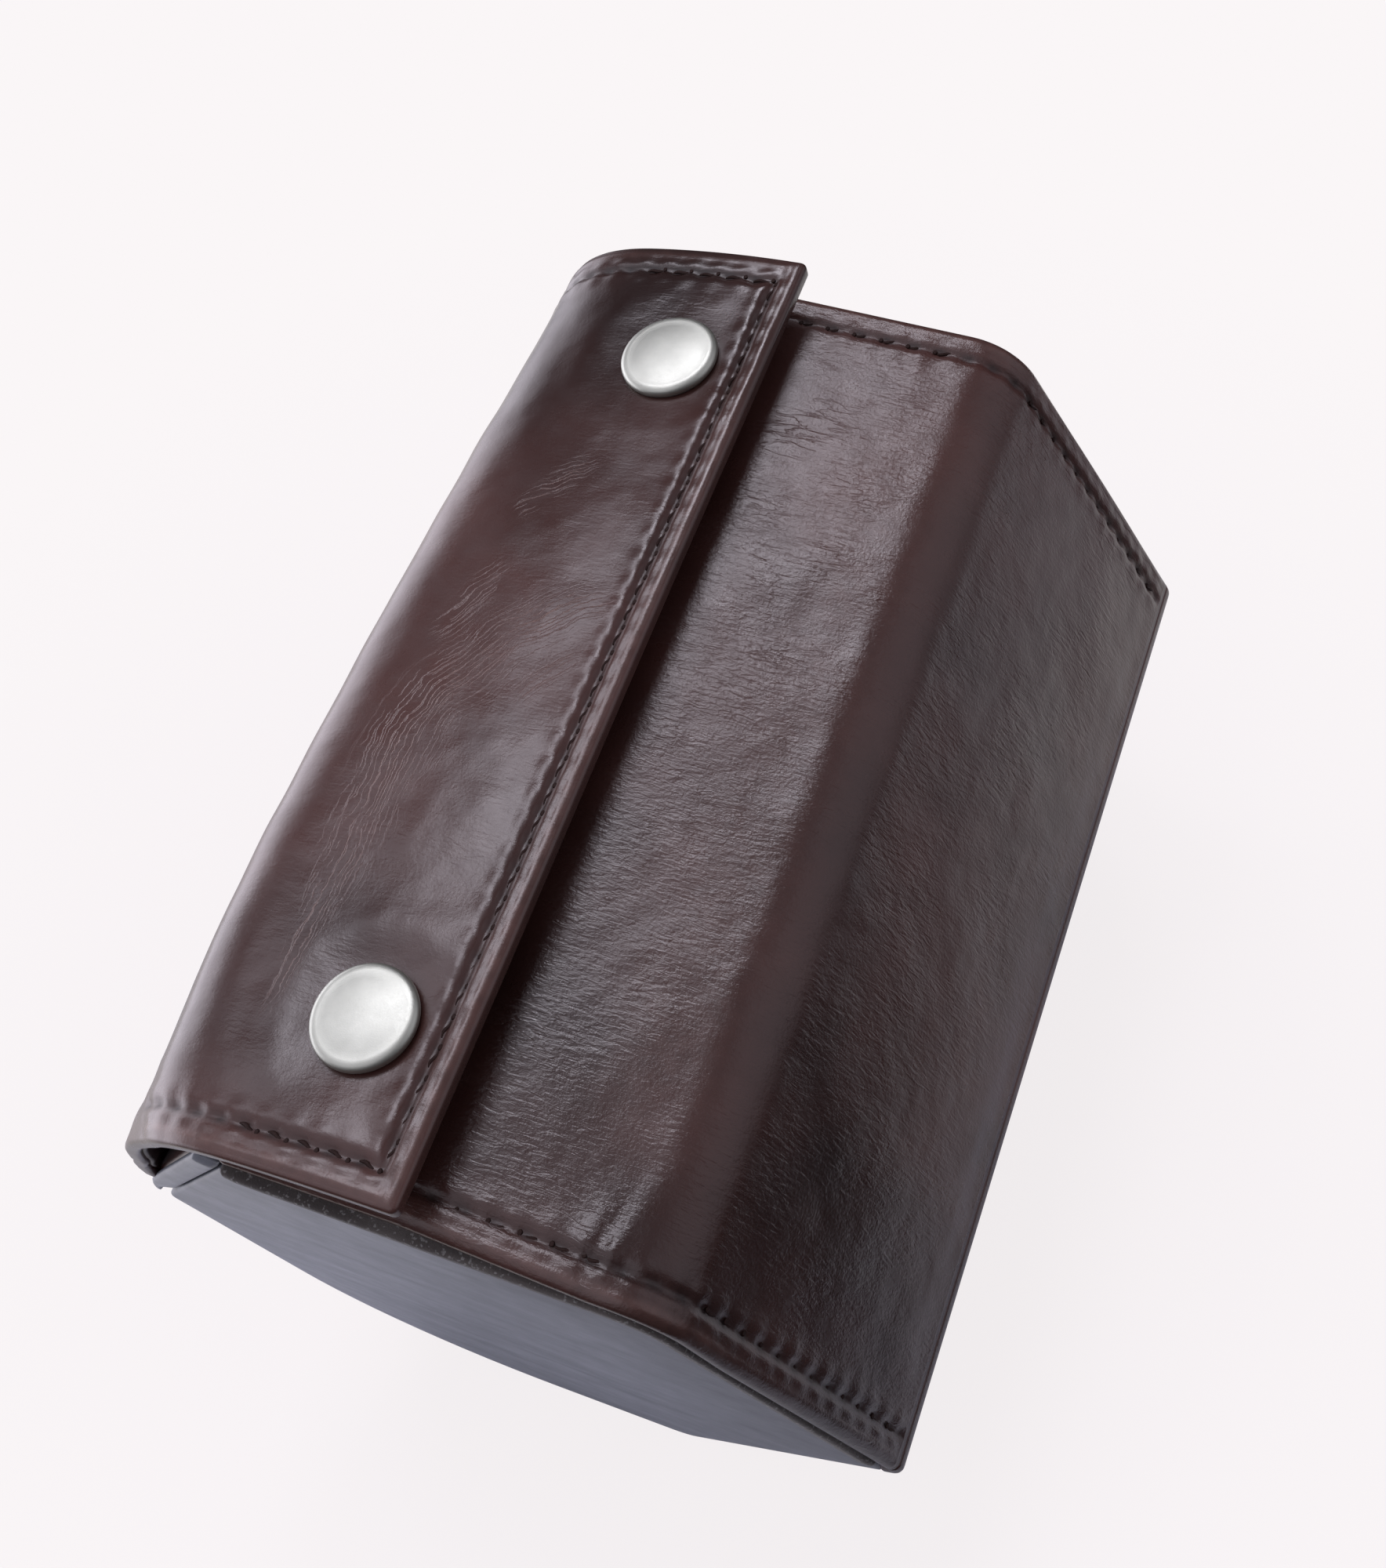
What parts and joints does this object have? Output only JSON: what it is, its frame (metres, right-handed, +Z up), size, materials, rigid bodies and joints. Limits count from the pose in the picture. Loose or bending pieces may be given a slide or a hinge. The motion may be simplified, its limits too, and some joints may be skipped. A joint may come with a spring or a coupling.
{
  "type": "watch case",
  "caption": "Leather watch case with flat ends, a lid that folds at its ridge, a flap closed by press studs, a suede lining, a divider and watch cushions.",
  "frame": {"origin": "middle of the case's box, on the floor it stands on", "axes": "+Z up, +Y along the case towards its far end, +X to the front, where the lid is hinged"},
  "size_m": [0.1, 0.133, 0.1012],
  "materials": {
    "leather": "satin",
    "end_leather": "satin",
    "flap_lining": "matte",
    "suede": "matte",
    "suede_board": "matte",
    "board": "matte",
    "cushion_cover": "matte",
    "thread": "matte",
    "snap_cap": "satin",
    "snap_metal": "satin"
  },
  "bodies": {
    "tray": {"base_leather": "leather", "back_board": "board", "base_board": "board", "front_board": "board", "base_lining": "suede", "end_board_near": "board", "end_board_far": "board", "end_leather_near": "end_leather", "end_leather_far": "end_leather", "end_lining_near": "suede", "end_lining_far": "suede", "divider": "suede_board", "cushion_near": "cushion_cover", "cushion_far": "cushion_cover", "front_hinge_leather": "leather", "flap_anchor": "leather", "anchor_stitching": "thread", "fold_leather": "leather", "fold_lining": "flap_lining"},
    "lid_front": {"lid_front_leather": "leather", "lid_front_board": "board", "lid_front_lining": "suede", "lid_front_stitching": "thread", "ridge_leather": "leather", "ridge_lining": "suede"},
    "lid_top": {"lid_top_leather": "leather", "lid_top_board": "board", "lid_top_lining": "suede", "lid_top_stitching": "thread", "snap_stud_near": "snap_metal", "snap_stud_far": "snap_metal", "stud_rivet_near": "snap_metal", "stud_rivet_far": "snap_metal"},
    "flap": {"flap_leather": "leather", "flap_lining": "flap_lining", "flap_stitching": "thread", "snap_cap_near": "snap_cap", "snap_cap_far": "snap_cap", "snap_socket_near": "snap_metal", "snap_socket_far": "snap_metal", "socket_spring_near": "snap_metal", "socket_spring_far": "snap_metal"}
  },
  "joints": [
    {"name": "flap_hinge", "type": "hinge", "parent": "tray", "child": "flap", "pos_m": [-0.03989, 0, 0.098], "axis": [0, -1, 0], "range_deg": [0, 170], "deforming": ["fold_leather", "fold_lining", "socket_spring_near", "socket_spring_far"]},
    {"name": "lid_hinge", "type": "hinge", "parent": "tray", "child": "lid_front", "pos_m": [0.05053, 0, 0.04533], "axis": [0, 1, 0], "range_deg": [0, 17], "deforming": ["front_hinge_leather"]},
    {"name": "lid_crease", "type": "hinge", "parent": "lid_front", "child": "lid_top", "pos_m": [0.01791, 0, 0.093], "axis": [0, 1, 0], "range_deg": [0, 42.5], "deforming": ["ridge_leather", "ridge_lining"]}
  ],
  "couplings": [
    {"joint": "lid_hinge", "follows": "flap_hinge", "ratio": 0.1},
    {"joint": "lid_crease", "follows": "flap_hinge", "ratio": 0.25}
  ]
}
